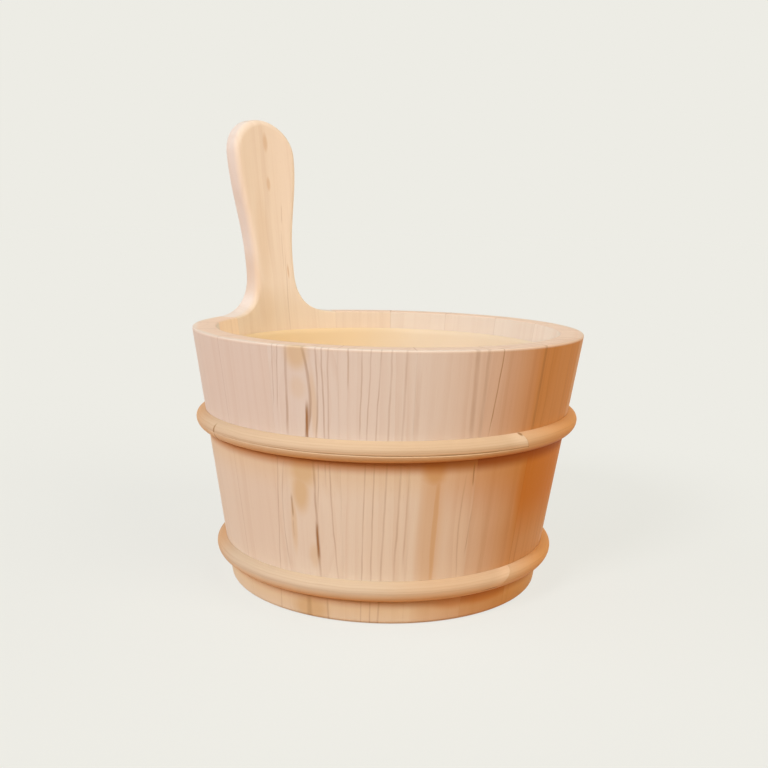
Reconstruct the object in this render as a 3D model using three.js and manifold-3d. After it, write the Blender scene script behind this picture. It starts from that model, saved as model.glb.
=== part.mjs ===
// Wooden sauna bucket: tapered pine staves set edge to edge, one of them drawn up into a paddle
// handle, a boarded bottom let into a groove inside the staves, two half-round wooden hoops with long
// lapped ends, and a loose plastic liner that lifts out.
// Millimetres, +Z up, the handle at +Y. Angles are in degrees, counter-clockwise seen from above.

import * as THREE from "three";
import { mergeVertices } from "three/addons/utils/BufferGeometryUtils.js";
import Module from "manifold-3d";

// Tub
const RIM_RADIUS = 125;
const BASE_RADIUS = 100;
const TUB_HEIGHT = 162;
const WALL = 15;
const RIM_ROUND = 1.8;
const FOOT_ROUND = 2.6;

// Staves: the handle stave faces +Y, and the two sides of the tub share what is left of the circle
const HANDLE_STAVE_ARC = 49.4;
const LEFT_STAVES = 8;
const RIGHT_STAVES = 7;
const STAVE_STEPS = 5;
const HANDLE_ANGLE = 90;

// Handle: half widths and heights of the paddle that the long stave ends in
const HANDLE_TOP = 300;
const HEAD_HALF = 27;
const HEAD_RISE = 25;
const NECK_HALF = 18.3;
const NECK_LOW = 193;
const NECK_HIGH = 199;
const SHOULDER_EASE = 28;
const FILLET_DROP = 22;
const FILLET_REACH = 22;
const HANDLE_ROUND = 4.5;
const HANDLE_CURVE_STEPS = 8;
const HANDLE_FACE_STEPS = 8;

// Bottom: three boards, dowelled edge to edge, whose bevelled rim sits in a groove in the staves
const CHIME = 12;
const BOTTOM_THICKNESS = 14;
const GROOVE_DEPTH = 5;
const GROOVE_HALF = 5.6;
const GROOVE_BEVEL = 1.4;
const MIDDLE_BOARD = 60;
const DOWEL_RADIUS = 4;
const DOWEL_LENGTH = 36;
const DOWEL_OFFSET = 45;

// Hoops: a half-round strip, bent round the tub, whose ends overlap in a long lap. Angles on the half-round
// face run from -90 at its lower edge to 90 at its upper edge.
const HOOP_HEIGHT = 12.4;
const HOOP_THICKNESS = 6.5;
const UPPER_HOOP_Z = 105.6;
const LOWER_HOOP_Z = 21.6;
const UPPER_HOOP_TILT = 1.4;
const LOWER_HOOP_TILT = 0.8;
const TILT_ANGLE = -46;
const LAP_START = 164;
const LAP_ARC = 101;
const LAP_SHOULDER = 1.2;
const LAP_END_GAP = 0.4;
const SEAM_START = -72;
const SEAM_END = -24;
const HOOP_STEP = 5.5;
const HOOP_ARC_STEPS = 10;

// Liner: a thin moulded cup with a rolled lip
const LINER_TOP = 150;
const LINER_WALL = 1.6;
const LINER_CORNER = 12;
const LINER_CLEARANCE = 3;
const LIP_REACH = 1.7;
const LIP_HEIGHT = 4;
const LINER_CURVE_STEPS = 3;

// Clearance left between pieces that touch, and the number of facets round a full turn
const FIT = 0.3;
const ROUND_STEPS = 60;

const TAPER = (RIM_RADIUS - BASE_RADIUS) / TUB_HEIGHT;
const BOTTOM_TOP = CHIME + BOTTOM_THICKNESS;
const GROOVE_Z = CHIME + BOTTOM_THICKNESS / 2;

const wasm = await Module();
wasm.setup();

const paleWood = new THREE.MeshStandardMaterial({ color: 0xe4c6a8, roughness: 0.62, metalness: 0 });
const handleWood = new THREE.MeshStandardMaterial({ color: 0xe8c9a6, roughness: 0.58, metalness: 0 });
const hoopWood = new THREE.MeshStandardMaterial({ color: 0xd9a873, roughness: 0.55, metalness: 0 });
const bottomWood = new THREE.MeshStandardMaterial({ color: 0xd8b48c, roughness: 0.7, metalness: 0 });
const dowelWood = new THREE.MeshStandardMaterial({ color: 0xcfa678, roughness: 0.7, metalness: 0 });
const linerPlastic = new THREE.MeshStandardMaterial({ color: 0xecd3a0, roughness: 0.4, metalness: 0 });

const outerRadius = (z) => BASE_RADIUS + TAPER * z;
const innerRadius = (z) => outerRadius(z) - WALL;
const radians = THREE.MathUtils.degToRad;
const smooth = THREE.MathUtils.smoothstep;
const lerp = THREE.MathUtils.lerp;

function polar(radius, degrees, z) {
  const angle = radians(degrees);
  return new THREE.Vector3(radius * Math.cos(angle), radius * Math.sin(angle), z);
}

// Triangles that fill a flat outline, wound the way the outline runs.
function fillOutline(outline) {
  const forward = Math.sign(THREE.ShapeUtils.area(outline));
  return THREE.ShapeUtils.triangulateShape(outline, []).map((face) => {
    const turn = Math.sign(THREE.ShapeUtils.area(face.map((i) => outline[i])));
    return turn === forward ? face : [face[2], face[1], face[0]];
  });
}

function signedVolume(points, faces) {
  const cross = new THREE.Vector3();
  return faces.reduce((sum, [a, b, c]) => sum + points[a].dot(cross.crossVectors(points[b], points[c])), 0);
}

// Skins a row of sections and closes both ends. A section has a flat outline, with the same number of
// points in each, and a function that places an outline point in space.
function loft(sections) {
  const count = sections[0].outline.length;
  const points = sections.flatMap(({ outline, place }) => outline.map(place));
  const faces = fillOutline(sections[0].outline).map(([a, b, c]) => [c, b, a]);
  for (let ring = 0; ring + 1 < sections.length; ring++) {
    for (let i = 0; i < count; i++) {
      const near = ring * count + i;
      const nearNext = ring * count + ((i + 1) % count);
      faces.push([near, nearNext, nearNext + count], [near, nearNext + count, near + count]);
    }
  }
  const last = (sections.length - 1) * count;
  faces.push(...fillOutline(sections.at(-1).outline).map((face) => face.map((i) => i + last)));
  const outward = signedVolume(points, faces) > 0 ? faces : faces.map(([a, b, c]) => [c, b, a]);
  const geometry = new THREE.BufferGeometry().setFromPoints(points);
  geometry.setIndex(outward.flat());
  return geometry;
}

// Revolves an outline of radius and height about the Z axis.
function revolve(outline) {
  return new THREE.LatheGeometry(outline, ROUND_STEPS).rotateX(Math.PI / 2);
}

function toSolid(geometry) {
  const bare = geometry.clone();
  bare.deleteAttribute("normal");
  bare.deleteAttribute("uv");
  const merged = mergeVertices(bare);
  const vertProperties = Float32Array.from(merged.attributes.position.array);
  const triVerts = Uint32Array.from(merged.index.array);
  return new wasm.Manifold(new wasm.Mesh({ numProp: 3, vertProperties, triVerts }));
}

function toGeometry(solid) {
  const { vertProperties, triVerts } = solid.getMesh();
  const geometry = new THREE.BufferGeometry();
  geometry.setAttribute("position", new THREE.BufferAttribute(vertProperties, 3));
  geometry.setIndex(new THREE.BufferAttribute(triVerts, 1));
  return geometry;
}

function piece(name, geometry, material) {
  geometry.computeVertexNormals();
  const mesh = new THREE.Mesh(geometry, material);
  mesh.name = name;
  return mesh;
}

// The groove for the bottom, as heights and depths from its lower lip to its upper lip.
function groovePoints(margin) {
  const floorHalf = GROOVE_HALF - GROOVE_BEVEL;
  return [
    [GROOVE_Z - GROOVE_HALF + margin, 0],
    [GROOVE_Z - floorHalf + margin, GROOVE_DEPTH - margin],
    [GROOVE_Z + floorHalf - margin, GROOVE_DEPTH - margin],
    [GROOVE_Z + GROOVE_HALF - margin, 0],
  ];
}

// Cross-section of a plain stave: rounded rim, rounded foot and the groove near its lower end.
function staveOutline() {
  const rimOuter = RIM_RADIUS;
  const rimInner = RIM_RADIUS - WALL;
  const shape = new THREE.Shape();
  shape.moveTo(innerRadius(0), 0);
  shape.lineTo(BASE_RADIUS - FOOT_ROUND, 0);
  shape.quadraticCurveTo(BASE_RADIUS, 0, outerRadius(FOOT_ROUND), FOOT_ROUND);
  shape.lineTo(outerRadius(TUB_HEIGHT - RIM_ROUND), TUB_HEIGHT - RIM_ROUND);
  shape.quadraticCurveTo(rimOuter, TUB_HEIGHT, rimOuter - RIM_ROUND, TUB_HEIGHT);
  shape.lineTo(rimInner + RIM_ROUND, TUB_HEIGHT);
  shape.quadraticCurveTo(rimInner, TUB_HEIGHT, innerRadius(TUB_HEIGHT - RIM_ROUND), TUB_HEIGHT - RIM_ROUND);
  for (const [z, depth] of groovePoints(0).reverse()) {
    shape.lineTo(innerRadius(z) + depth, z);
  }
  return shape.getPoints(3);
}

// One plain stave between two joint planes, each drawn back by half of the joint's clearance.
function stave(name, from, to) {
  const outline = staveOutline();
  const ease = THREE.MathUtils.radToDeg(FIT / 2 / innerRadius(0));
  const sections = [];
  for (let step = 0; step <= STAVE_STEPS; step++) {
    const angle = lerp(from + ease, to - ease, step / STAVE_STEPS);
    sections.push({ outline, place: (p) => polar(p.x, angle, p.y) });
  }
  return piece(name, loft(sections), paleWood);
}

// Level section of the handle stave at a height: two faces on the tub's inner and outer cones, with
// eased corners. The halves are measured along X at the outer and the inner face.
function handleSection(z, outer, inner, outerHalf, innerHalf, roundness) {
  const ease = Math.min(HANDLE_ROUND, outerHalf * 0.6);
  const pull = roundness * ease * (1 - Math.SQRT1_2);
  const onCone = (x, radius) => new THREE.Vector2(x, Math.sqrt(radius ** 2 - x ** 2));
  const sideHalf = (depth) => lerp(outerHalf, innerHalf, depth / (outer - inner));
  const rightSide = [
    onCone(outerHalf - pull, outer - pull),
    onCone(sideHalf(ease), outer - ease),
    onCone(sideHalf(outer - inner - ease), inner + ease),
    onCone(innerHalf - pull, inner + pull),
  ];
  const leftSide = rightSide.map((p) => new THREE.Vector2(-p.x, p.y)).reverse();
  const face = (half, radius) => {
    const across = (i) => lerp(ease - half, half - ease, i / HANDLE_FACE_STEPS);
    return Array.from({ length: HANDLE_FACE_STEPS + 1 }, (_, i) => onCone(across(i), radius));
  };
  const outline = [...face(outerHalf, outer), ...rightSide, ...face(innerHalf, inner).reverse(), ...leftSide];
  return { outline, place: (p) => new THREE.Vector3(p.x, p.y, z) };
}

// Half width of the paddle against height: the sweep up from the rim, the neck, the swell and the top.
function paddleCurve(rimHalf) {
  const headZ = HANDLE_TOP - HEAD_RISE;
  const curve = new THREE.Path();
  curve.moveTo(rimHalf, TUB_HEIGHT);
  curve.bezierCurveTo(
    rimHalf - FILLET_REACH, TUB_HEIGHT, NECK_HALF, NECK_LOW - FILLET_DROP, NECK_HALF, NECK_LOW);
  curve.lineTo(NECK_HALF, NECK_HIGH);
  curve.bezierCurveTo(
    NECK_HALF, NECK_HIGH + SHOULDER_EASE, HEAD_HALF, headZ - SHOULDER_EASE, HEAD_HALF, headZ);
  curve.absellipse(0, headZ, HEAD_HALF, HEAD_RISE, 0, Math.PI / 2);
  return curve.getPoints(HANDLE_CURVE_STEPS).slice(1, -1);
}

// The long stave: a plain stave up to the rim that sweeps in to the neck and swells to a rounded head.
function handleStave() {
  const ease = radians(HANDLE_STAVE_ARC / 2) - FIT / 2 / innerRadius(0);
  const flare = Math.sin(ease);
  const tubSection = (z, outer, inner) => handleSection(z, outer, inner, outer * flare, inner * flare, 0);
  const sections = [
    tubSection(0, BASE_RADIUS - FOOT_ROUND, innerRadius(0)),
    tubSection(FOOT_ROUND, outerRadius(FOOT_ROUND), innerRadius(FOOT_ROUND)),
    ...groovePoints(0).map(([z, depth]) => tubSection(z, outerRadius(z), innerRadius(z) + depth)),
    tubSection(TUB_HEIGHT, RIM_RADIUS, RIM_RADIUS - WALL),
  ];
  for (const { x: half, y: z } of paddleCurve(RIM_RADIUS * flare)) {
    const above = Math.max(0, (z - HANDLE_TOP) / HANDLE_ROUND + 1);
    const crown = HANDLE_ROUND * (1 - Math.sqrt(1 - above ** 2));
    const free = smooth(z, TUB_HEIGHT, NECK_LOW);
    const innerHalf = half * lerp(1 - WALL / outerRadius(z), 1, free);
    const roundness = smooth(z, TUB_HEIGHT, (TUB_HEIGHT + NECK_LOW) / 2);
    const outer = outerRadius(z) - crown;
    const inner = innerRadius(z) + crown;
    sections.push(handleSection(z, outer, inner, half, innerHalf, roundness));
  }
  return piece("handle_stave", loft(sections), handleWood);
}

function allStaves() {
  const staves = [handleStave()];
  const sideArc = (360 - HANDLE_STAVE_ARC) / 2;
  let angle = HANDLE_ANGLE + HANDLE_STAVE_ARC / 2;
  for (const count of [LEFT_STAVES, RIGHT_STAVES]) {
    for (let i = 0; i < count; i++) {
      const name = `stave_${String(staves.length).padStart(2, "0")}`;
      staves.push(stave(name, angle, angle + sideArc / count));
      angle += sideArc / count;
    }
  }
  return staves;
}

// The round bottom as one disc, with the bevelled rim that sits in the groove.
function bottomDisc() {
  const shoulder = innerRadius(CHIME) - 1;
  const outline = [new THREE.Vector2(0, CHIME), new THREE.Vector2(shoulder, CHIME)];
  for (const [z, depth] of groovePoints(FIT)) {
    const radius = depth > 0 ? innerRadius(GROOVE_Z - GROOVE_HALF) + depth : shoulder;
    outline.push(new THREE.Vector2(radius, z));
  }
  outline.push(new THREE.Vector2(shoulder, BOTTOM_TOP), new THREE.Vector2(0, BOTTOM_TOP));
  return revolve(outline);
}

function dowelGeometry(radius, length, x, y) {
  const geometry = new THREE.CylinderGeometry(radius, radius, length, 16);
  return geometry.rotateZ(Math.PI / 2).translate(x, y, GROOVE_Z);
}

// The disc sawn into three boards that run towards the handle, with blind holes for the dowels.
function bottomPieces() {
  const edge = MIDDLE_BOARD / 2;
  const places = [-1, 1].flatMap((side) => [-1, 1].map((end) => [side * edge, end * DOWEL_OFFSET]));
  const dowels = places.map(([x, y], i) => {
    return piece(`bottom_dowel_${i + 1}`, dowelGeometry(DOWEL_RADIUS, DOWEL_LENGTH, x, y), dowelWood);
  });
  const holes = places.map(([x, y]) => {
    return toSolid(dowelGeometry(DOWEL_RADIUS + FIT, DOWEL_LENGTH + 2 * FIT, x, y));
  });
  const drilled = holes.reduce((solid, hole) => solid.subtract(hole), toSolid(bottomDisc()));
  const spans = {
    bottom_board_left: [-RIM_RADIUS, -edge - FIT / 2],
    bottom_board_middle: [-edge + FIT / 2, edge - FIT / 2],
    bottom_board_right: [edge + FIT / 2, RIM_RADIUS],
  };
  const boards = Object.entries(spans).map(([name, [low, high]]) => {
    const slab = new THREE.BoxGeometry(high - low, 2 * RIM_RADIUS, TUB_HEIGHT);
    slab.translate((low + high) / 2, 0, 0);
    return piece(name, toGeometry(drilled.intersect(toSolid(slab))), bottomWood);
  });
  return [...boards, ...dowels];
}

// Points along the hoop's half-round face between two angles: depth out from the staves, and height.
function hoopArc(from, to, steps) {
  return Array.from({ length: steps + 1 }, (_, i) => {
    const turn = radians(lerp(from, to, i / steps));
    return new THREE.Vector2(HOOP_THICKNESS * Math.cos(turn), (HOOP_HEIGHT / 2) * Math.sin(turn));
  });
}

// Section of the lap's inner tongue: what lies below a straight cut from the seam up to the upper edge,
// drawn back there by the clearance.
function innerTongue(seam) {
  const face = hoopArc(-90, seam, HOOP_ARC_STEPS - 1);
  const edge = face.at(-1);
  const top = HOOP_HEIGHT / 2;
  const drop = (FIT * Math.hypot(edge.x, top - edge.y)) / edge.x;
  return [...face, new THREE.Vector2(0, top - drop)];
}

// One hoop: the strip starts as the inner tongue of the lap, is whole round the back of the tub, and
// ends as the outer tongue, which covers the inner one and stops at its shoulder. The seam between them
// climbs from near the lower edge. A tilted hoop stands that much higher on one side of the tub and lower
// on the other.
function hoop(name, middleZ, tilt) {
  const halfGap = THREE.MathUtils.radToDeg(FIT / 2 / HOOP_THICKNESS);
  const seam = (along) => lerp(SEAM_START, SEAM_END, along / LAP_ARC);
  const sections = [];
  const add = (from, to, outlineAt) => {
    const steps = Math.round((to - from) / HOOP_STEP);
    for (let i = 0; i <= steps; i++) {
      const turn = lerp(from, to, i / steps);
      const angle = LAP_START + turn;
      const hoopZ = middleZ + tilt * Math.cos(radians(angle - TILT_ANGLE));
      const place = (p) => polar(outerRadius(hoopZ + p.y) + FIT + p.x, angle, hoopZ + p.y);
      sections.push({ outline: outlineAt(turn), place });
    }
  };
  add(LAP_END_GAP, LAP_ARC, (turn) => innerTongue(seam(turn) - halfGap));
  add(LAP_ARC + LAP_SHOULDER, 360 - LAP_SHOULDER, () => hoopArc(-90, 90, HOOP_ARC_STEPS));
  add(360, 360 + LAP_ARC - LAP_END_GAP, (turn) => hoopArc(seam(turn - 360) + halfGap, 90, HOOP_ARC_STEPS));
  return piece(name, loft(sections), hoopWood);
}

// The cup: outside from the middle of its base up to the rolled lip, then back down the inside.
function liner() {
  const base = BOTTOM_TOP + FIT;
  const outside = (z) => innerRadius(z) - LINER_CLEARANCE;
  const inside = (z) => outside(z) - LINER_WALL;
  const floor = base + LINER_WALL;
  const lipLow = LINER_TOP - LIP_HEIGHT;
  const bead = outside(LINER_TOP) + LIP_REACH;
  const profile = new THREE.Path();
  profile.moveTo(0, base);
  profile.lineTo(outside(base) - LINER_CORNER, base);
  profile.quadraticCurveTo(outside(base), base, outside(base + LINER_CORNER), base + LINER_CORNER);
  profile.lineTo(outside(lipLow), lipLow);
  profile.quadraticCurveTo(bead, lipLow, bead, LINER_TOP - LIP_HEIGHT / 2);
  profile.quadraticCurveTo(bead, LINER_TOP, (bead + inside(LINER_TOP)) / 2, LINER_TOP);
  profile.quadraticCurveTo(inside(LINER_TOP), LINER_TOP, inside(lipLow), lipLow);
  profile.lineTo(inside(floor + LINER_CORNER), floor + LINER_CORNER);
  profile.quadraticCurveTo(inside(floor), floor, inside(floor) - LINER_CORNER, floor);
  profile.lineTo(0, floor);
  return piece("liner", revolve(profile.getPoints(LINER_CURVE_STEPS)), linerPlastic);
}

// The tub's axis is the working origin; the finished bucket is moved so that the middle of its box,
// handle included, stands over the origin on the floor.
const bucket = new THREE.Group();
bucket.add(...allStaves());
bucket.add(...bottomPieces());
bucket.add(hoop("upper_hoop", UPPER_HOOP_Z, UPPER_HOOP_TILT));
bucket.add(hoop("lower_hoop", LOWER_HOOP_Z, LOWER_HOOP_TILT));
bucket.add(liner());

const box = new THREE.Box3().setFromObject(bucket);
const middle = box.getCenter(new THREE.Vector3());
bucket.position.set(-middle.x, -middle.y, -box.min.z);

export default bucket;
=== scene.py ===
from dataclasses import dataclass
from math import cos, pi, radians, sin, tan

import bmesh
import bpy
import numpy as np
from mathutils import Matrix, Vector


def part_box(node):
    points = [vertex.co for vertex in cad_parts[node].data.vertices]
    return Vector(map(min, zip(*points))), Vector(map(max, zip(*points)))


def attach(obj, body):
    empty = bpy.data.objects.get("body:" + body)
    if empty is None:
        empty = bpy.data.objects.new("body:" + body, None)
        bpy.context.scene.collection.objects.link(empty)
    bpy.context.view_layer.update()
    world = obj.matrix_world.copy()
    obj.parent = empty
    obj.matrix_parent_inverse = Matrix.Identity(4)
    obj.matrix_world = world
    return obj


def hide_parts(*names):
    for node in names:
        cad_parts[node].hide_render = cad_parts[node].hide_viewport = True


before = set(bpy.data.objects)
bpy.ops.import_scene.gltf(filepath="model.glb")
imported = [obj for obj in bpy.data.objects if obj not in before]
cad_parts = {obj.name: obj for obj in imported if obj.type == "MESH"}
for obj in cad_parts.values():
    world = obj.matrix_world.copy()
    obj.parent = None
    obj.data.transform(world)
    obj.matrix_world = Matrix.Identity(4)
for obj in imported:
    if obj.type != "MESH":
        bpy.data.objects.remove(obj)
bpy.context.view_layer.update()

# The looks of a coopered sauna bucket: staves, a paddle handle, lapped hoops, a bottom and a loose liner.
# The script works in millimetres about the tub's axis, which is the liner's own middle.
MM = 0.001
liner_low, liner_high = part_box("liner")
AXIS = Vector(((liner_low.x + liner_high.x) / 2, (liner_low.y + liner_high.y) / 2, 0.0))

# Tub
RIM_RADIUS = 125.0
BASE_RADIUS = 100.0
TUB_HEIGHT = 162.0
WALL = 15.0
RIM_ROUND = 1.1
FOOT_ROUND = 2.6
TAPER = (RIM_RADIUS - BASE_RADIUS) / TUB_HEIGHT

# Staves, counted counter-clockwise from the handle. Angles are degrees round the tub.
HANDLE_ANGLE = 90.0
HANDLE_STAVE_ARC = 49.4
LEFT_STAVES = 8
RIGHT_STAVES = 7
JOINT_GAP = 0.05

# Groove for the bottom
GROOVE_Z = 19.0
GROOVE_HALF = 5.6
GROOVE_BEVEL = 1.4
GROOVE_DEPTH = 5.0

# Paddle handle
HANDLE_TOP = 300.0
HEAD_HALF = 27.0
HEAD_RISE = 25.0
NECK_HALF = 18.3
NECK_LOW = 193.0
NECK_HIGH = 199.0
SHOULDER_EASE = 28.0
FILLET_DROP = 22.0
FILLET_REACH = 22.0
HANDLE_ROUND = 4.5
FULL_ROUND_Z = NECK_LOW - 6.0
HANDLE_FLARE = sin(radians(HANDLE_STAVE_ARC / 2) - JOINT_GAP / 2 / RIM_RADIUS)

# Hoops: half-round strips, each highest at the tilt angle
HOOP_HEIGHT = 12.4
HOOP_THICKNESS = 6.5
HOOP_FIT = 0.1
HOOP_FEATHER = 0.5
UPPER_HOOP_Z = 105.6
LOWER_HOOP_Z = 21.6
UPPER_HOOP_TILT = 1.4
LOWER_HOOP_TILT = 0.8
TILT_ANGLE = -46.0
LAP_START = 164.0
LAP_ARC = 101.0
LAP_BLEND = 30.0

# Laps. The seam and the gap along it are degrees on the half-round, at the lap's start and at its end.
# Each tongue stands proud by its lift. The strip's ends leave a gap in degrees and slant by a share of
# their rise.
UPPER_LAP = dict(
    seam=(-4.0, -17.0), gap=(3.5, 8.0), inner_lift=0.3, outer_lift=0.0, end_gap=0.08, end_slant=-0.4)
LOWER_LAP = dict(
    seam=(-72.0, -24.0), gap=(1.5, 1.5), inner_lift=0.0, outer_lift=0.3, end_gap=0.12, end_slant=1.5)

# Liner
LINER_TOP = 150.0
LINER_BASE = 26.3
LINER_WALL = 1.6
LINER_CORNER = 12.0
LINER_CLEARANCE = 3.0
LIP_REACH = 1.7
LIP_HEIGHT = 4.0

# Fineness of the meshes: steps along each curve, degrees between sections of a hoop, the angle from which an
# edge is sharp, and the distances in metres under which points are welded and slivers removed
STAVE_STEPS = 14
ARC_STEPS = 6
TUB_RINGS = 6
CURVE_STEPS = 26
FACE_STEPS = 20
HOOP_STEP = 1.5
HOOP_ARC_STEPS = 24
LINER_STEPS = 128
SHARP_ANGLE = 34.0
WELD = 1e-7
SLIVER = 1e-8

# Camera, fitted to the photo's outline. Angles are in degrees.
VIEW_AZIMUTH = -46.0
CAMERA_DISTANCE = 623.1
CAMERA_HEIGHT = 225.05
CAMERA_YAW = -0.17
CAMERA_PITCH = 9.22
CAMERA_ROLL = 1.28
CAMERA_LENS = 45.086
CAMERA_SENSOR = 36.0
CAMERA_NEAR = 10.0

# Suns: degrees right of the camera, degrees above the floor, softness in degrees, power and colour
SUNS = {
    "key": (-38.0, 32.0, 18.0, 1.70, (0.98, 1.0, 1.08)),
    "side": (-82.0, 25.0, 50.0, 0.85, (0.98, 1.0, 1.06)),
    "fill": (52.0, 31.0, 45.0, 1.56, (1.0, 0.945, 0.83)),
    "right": (110.0, 30.0, 50.0, 0.6, (1.0, 0.94, 0.82)),
}

# Sky and floor
BACKGROUND = (0.847, 0.839, 0.783)
SKY_POWER = 0.12
SKY_COLOUR = (1.0, 0.78, 0.55)
BOUNCE_COLOUR = (0.50, 0.25, 0.085)
FLOOR_PAINT = (0.80, 0.79, 0.74)
FLOOR_GLOW = 0.8
FLOOR_HALF = 30000.0
FLOOR_DROP = 0.2

# Colours of the staves, as linear values
PALE = (0.84, 0.725, 0.58)
# Painted cool light higher up on the staves, in plain, lit and inner versions
UPPER_COOL_LIGHT = (0.815, 0.715, 0.62)
LIT_FRESH = (0.87, 0.755, 0.625)
INNER_UPPER_LIGHT = (0.83, 0.715, 0.585)
INNER_WARM = (0.845, 0.675, 0.505)
INNER_GOLD = (0.93, 0.71, 0.50)
# Light fibres, and also the painted highlight on the rim's outer edge
LIGHT_FIBRE_AND_HIGHLIGHT = (0.92, 0.77, 0.63)
LATE = (0.56, 0.33, 0.185)
DEEP_LATE = (0.44, 0.17, 0.04)
END_GRAIN = (0.93, 0.69, 0.52)
# Painted shade: on the foot below the lower hoop, in a warm band below each hoop and in the crease right
# under it
FOOT_SHADE = (0.86, 0.725, 0.49)
HOOP_WARM_SHADE = (0.80, 0.50, 0.13)
CREASE_SHADE = (0.47, 0.165, 0.03)
DEEP_CREASE_SHADE = (0.37, 0.09, 0.008)

# Colours of stains, and of painted shade: the honey colour is also painted shade on the side turned from the
# key light, and the amber is painted shade below and under the hoops
HONEY_AND_SHADE = (0.61, 0.245, 0.046)
TAN = (0.67, 0.39, 0.165)
AMBER_SHADE = (0.60, 0.20, 0.025)
HEART = (0.73, 0.51, 0.26)
THREAD = (0.36, 0.17, 0.055)

# Colours of the handle
HANDLE_PALE = (0.96, 0.805, 0.65)
HANDLE_OUTSIDE = (0.88, 0.77, 0.67)
HANDLE_ROOT = (0.88, 0.71, 0.53)

# Colours of the hoops. The stain colour is painted shade on their right part and a darker patch near the
# slit;
# the under colour is their warm tone and painted light on their undersides
UPPER_HOOP_PALE = (0.715, 0.535, 0.35)
LOWER_HOOP_PALE = (0.68, 0.53, 0.365)
HOOP_TIP = (0.80, 0.62, 0.43)
HOOP_SHADE_AND_STAIN = (0.71, 0.34, 0.11)
HOOP_LATE = (0.44, 0.235, 0.10)
HOOP_WARM_AND_UNDER_LIGHT = (0.99, 0.66, 0.35)

# Colours of the liner, with painted warm light that makes it yellower towards the handle, and how fast they
# change per millimetre
LINER_CREAM = (0.81, 0.655, 0.45)
LINER_PALE = (0.85, 0.70, 0.51)
LINER_WARM_LIGHT = (0.84, 0.62, 0.355)
LINER_WARM_LIGHT_Y = (50.0, 106.0)
LINER_CLOUD = (0.03, 0.03, 0.05)
LINER_FINE = 2.0

# Figure of the wood: how fast each pattern changes across the grain and along it, per millimetre, and what
# it adds to the piece's seed. The heave changes only along the grain. The last three don't use the seed.
DRIFT = (0.025, 0.009, 0.0)
PATCH = (0.10, 0.02, 2.0)
WAVER = (0.05, 0.05, 4.0)
BAND = (0.28, 0.004, 6.0)
TONE = (0.03, 0.006, 11.0)
HEAVE = (0.014, 7.3)
FIBRE = (1.9, 0.035)
PORE = (3.4, 0.16)
BREAKS = (0.3, 0.045)

# Year rings: each darkens slowly and ends sharply, at shares of its width. Chance and patches vary its
# strength, and noise shifts it by a share of its width.
RING_DARKENS = (0.45, 0.94)
RING_ENDS = (0.95, 1.0)
RING_CHANCE = (0.15, 1.0)
RING_PATCHES = (0.2, 1.4)
RING_RATE = 0.6
RING_SHIFT = 0.8

# Strength of the finer figure
WAVER_REACH = 0.6
TONE_REACH = 0.10
BAND_SHOWS = (0.45, 0.75)
BAND_SHARE = 0.5
FIBRE_SHADE = 0.10
LIGHT_ON_WARM = 0.2
PORE_SHOWS = (0.66, 0.78)
PORE_SHADE = 0.14

# Depths in from a piece's face between which a colour gives way to the next
FACE_DEPTH = (2.0, 6.0)
SHADING_DEPTH = (3.0, 8.0)
JOINT_DEPTH = (6.0, 12.0)
INSIDE_DEPTH = (9.0, 14.0)
TOP_DEPTH = (1.5, 4.0)
EDGE_DEPTH = (2.0, 5.0)

# Heights on the staves between which a colour gives way to the next: painted shade on the foot, full painted
# shading, painted cool light higher up, the painted amber shade's top, the painted edge highlight and the
# cut top
FOOT_TONE = (8.0, 18.0)
SHADING_FULL = (32.0, 55.0)
UPPER_LIGHT_FROM = (84.0, 112.0)
AMBER_SHADE_TOP = (99.0, 102.0)
EDGE_FROM = (TUB_HEIGHT - 1.8, TUB_HEIGHT - 0.8)
TOP_FROM = (TUB_HEIGHT - 0.6, TUB_HEIGHT - 0.2)

# Shares of those colours, and half the width over which the painted amber shade's share changes
FOOT_SHARE = 0.5
FOOT_WARM = 1.6
FOOT_WARM_MOST = 0.92
SHADING_AT_FOOT = 0.93
EDGE_SHARE = 0.6
TOP_SHARE = 0.85
AMBER_SHADE_HALF = 20.0

# Lines along the stave joints: half widths, and strengths on the outside, on the inside and on top
JOINT_LINE = (0.1, 0.5)
JOINT_OUTSIDE = 0.3
JOINT_INSIDE = 0.14
JOINT_TOP = 0.25

# Painted shade below each hoop: the hoop's height, how far down the painted warm shade and the painted
# crease shade reach, and the crease shade's share
HOOP_SHADES = ((UPPER_HOOP_Z, 26.0, 8.8, 0.86), (LOWER_HOOP_Z, 20.0, 6.8, 0.46))
WARM_SHADE_SHARE = 0.3
CREASE_SHADE_FULL = 0.2
BEHIND_HOOP = 3.0

# Threads are placed at three heights one step apart, are full over a share of their width and fade in and
# out over a share of their length. Breaks along them vary their strength. Spots fade out at shares of
# their size.
THREAD_STEP = 65.0
THREAD_CORE = 0.2
THREAD_FADE = 0.2
THREAD_BREAKS = (0.15, 1.15)
SPOT_EDGE = (0.35, 1.1)

# Surface of the wood and of the liner. A bump is its strength and its height in metres.
WOOD_ROUGHNESS = (0.5, 0.72)
ROUGH_FIBRE = 0.7
ROUGH_RING = -0.25
WOOD_SPECULAR = 0.12
WOOD_BUMP = (0.16, 0.0004)
BUMP_FIBRE = 0.6
BUMP_RING = 0.5
LINER_ROUGHNESS = (0.46, 0.58)
LINER_SPECULAR = 0.3
LINER_BUMP = (0.06, 0.0003)
LINER_SUBSURFACE = 0.08
LINER_SUBSURFACE_RADIUS = (0.004, 0.003, 0.002)


def outer_radius(z):
    return BASE_RADIUS + TAPER * z


def inner_radius(z):
    return outer_radius(z) - WALL


def lerp(a, b, t):
    return a + (b - a) * t


def smooth(value, low, high):
    t = min(1.0, max(0.0, (value - low) / (high - low)))
    return t * t * (3 - 2 * t)


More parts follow.
